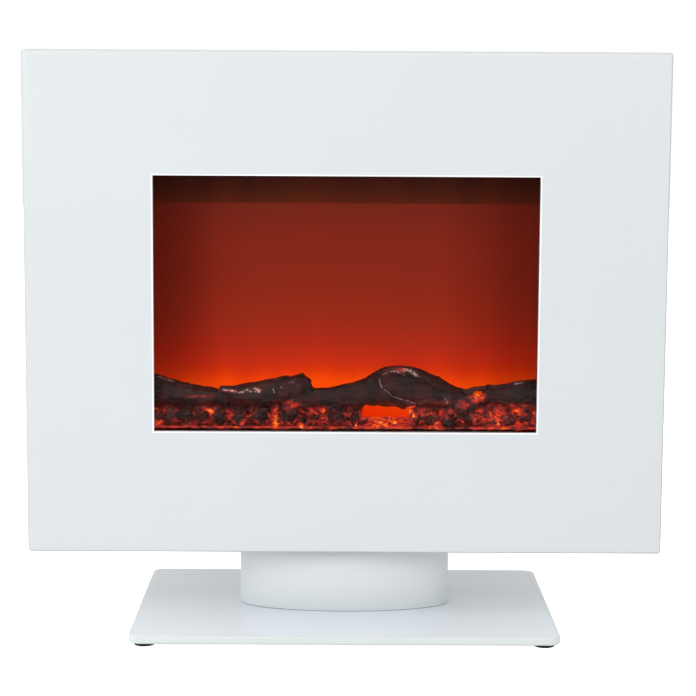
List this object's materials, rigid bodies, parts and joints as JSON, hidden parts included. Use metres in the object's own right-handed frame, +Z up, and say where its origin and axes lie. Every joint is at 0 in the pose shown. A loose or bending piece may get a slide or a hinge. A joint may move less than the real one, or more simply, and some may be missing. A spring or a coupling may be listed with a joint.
{
  "type": "electric fireplace heater",
  "caption": "Free-standing electric fireplace: a flame box and fan heater behind a white glass front, on an oval column and a glass base plate.",
  "frame": {"origin": "on the floor, under the middle of the base plate", "axes": "+Z up, +X to the right seen from the front, the glass front faces -Y"},
  "size_m": [0.65, 0.285, 0.587],
  "materials": {
    "enamelled_glass": "clear gloss, white enamel behind",
    "front_glass": "clear gloss, white enamel behind except in the window",
    "white_powder_coat": "satin powder coat",
    "black_heat_paint": "matt heat-resistant paint",
    "zinc_steel": "zinc plated",
    "mirror_sheet": "polished sheet",
    "aluminium_fins": "mill finish",
    "white_foam": "closed-cell foam strip",
    "rubber": "matt",
    "black_plastic": "fine moulded texture",
    "dark_nylon": "glass-filled nylon",
    "natural_nylon": "natural nylon",
    "flame_acrylic": "translucent diffusing sheet, lit from behind",
    "charred_resin": "painted bark and char",
    "ember_resin": "translucent casting, lit from below",
    "circuit_board": "solder resist"
  },
  "bodies": {
    "casing": {"base_plate": "enamelled_glass", "foot_front_left": "rubber", "foot_front_right": "rubber", "foot_back_left": "rubber", "foot_back_right": "rubber", "base_bolt_1": "zinc_steel", "base_bolt_2": "zinc_steel", "base_bolt_3": "zinc_steel", "base_bolt_4": "zinc_steel", "column": "white_powder_coat", "column_base_flange": "zinc_steel", "column_top_flange": "zinc_steel", "column_screw_1": "zinc_steel", "column_screw_2": "zinc_steel", "front_glass": "front_glass", "window_gasket": "white_foam", "glass_rail_left": "zinc_steel", "glass_rail_right": "zinc_steel", "casing_bottom": "white_powder_coat", "casing_top": "white_powder_coat", "casing_left": "white_powder_coat", "casing_right": "white_powder_coat", "front_plate": "black_heat_paint", "back_cover": "white_powder_coat", "cover_screw_1": "zinc_steel", "cover_screw_2": "zinc_steel", "cover_screw_3": "zinc_steel", "cover_screw_4": "zinc_steel", "cover_screw_5": "zinc_steel", "cover_screw_6": "zinc_steel", "cord_gland": "black_plastic", "outlet_grille": "black_plastic", "firebox_floor": "black_heat_paint", "firebox_ceiling": "black_heat_paint", "firebox_side_left": "black_heat_paint", "firebox_side_right": "black_heat_paint", "flame_screen": "flame_acrylic", "screen_mask": "black_heat_paint", "rear_reflector": "mirror_sheet", "log_set": "charred_resin", "ember_bed": "ember_resin", "ember_lamp_board": "circuit_board", "flame_lamp_board": "circuit_board", "rotor_bush": "natural_nylon", "rotor_motor": "zinc_steel", "blower_scroll": "zinc_steel", "blower_bush": "natural_nylon", "blower_motor": "zinc_steel", "heater_element": "aluminium_fins", "thermal_cutout": "zinc_steel", "control_bezel": "black_plastic", "control_board": "circuit_board", "wiring_loom": "rubber"},
    "flame_rotor": {"flame_rotor": "mirror_sheet", "rotor_coupling": "rubber"},
    "blower_wheel": {"blower_wheel": "dark_nylon"},
    "power_switch": {"power_switch": "black_plastic"},
    "heat_low_switch": {"heat_low_switch": "black_plastic"},
    "heat_high_switch": {"heat_high_switch": "black_plastic"},
    "dimmer_knob": {"dimmer_knob": "black_plastic"}
  },
  "joints": [
    {"name": "flame_rotor_spin", "type": "hinge", "parent": "casing", "child": "flame_rotor", "pos_m": [0, 0.02, 0.228], "axis": [1, 0, 0], "continuous": true},
    {"name": "blower_wheel_spin", "type": "hinge", "parent": "casing", "child": "blower_wheel", "pos_m": [0, 0.018, 0.508], "axis": [1, 0, 0], "continuous": true},
    {"name": "power_switch_rock", "type": "hinge", "parent": "casing", "child": "power_switch", "pos_m": [0.2765, 0.007, 0.426], "axis": [0, 1, 0], "range_deg": [0, 16]},
    {"name": "heat_low_switch_rock", "type": "hinge", "parent": "casing", "child": "heat_low_switch", "pos_m": [0.2765, 0.007, 0.394], "axis": [0, 1, 0], "range_deg": [-16, 0]},
    {"name": "heat_high_switch_rock", "type": "hinge", "parent": "casing", "child": "heat_high_switch", "pos_m": [0.2765, 0.007, 0.362], "axis": [0, 1, 0], "range_deg": [-16, 0]},
    {"name": "dimmer_knob_turn", "type": "hinge", "parent": "casing", "child": "dimmer_knob", "pos_m": [0.256, 0.007, 0.325], "axis": [1, 0, 0], "range_deg": [-135, 135]}
  ]
}
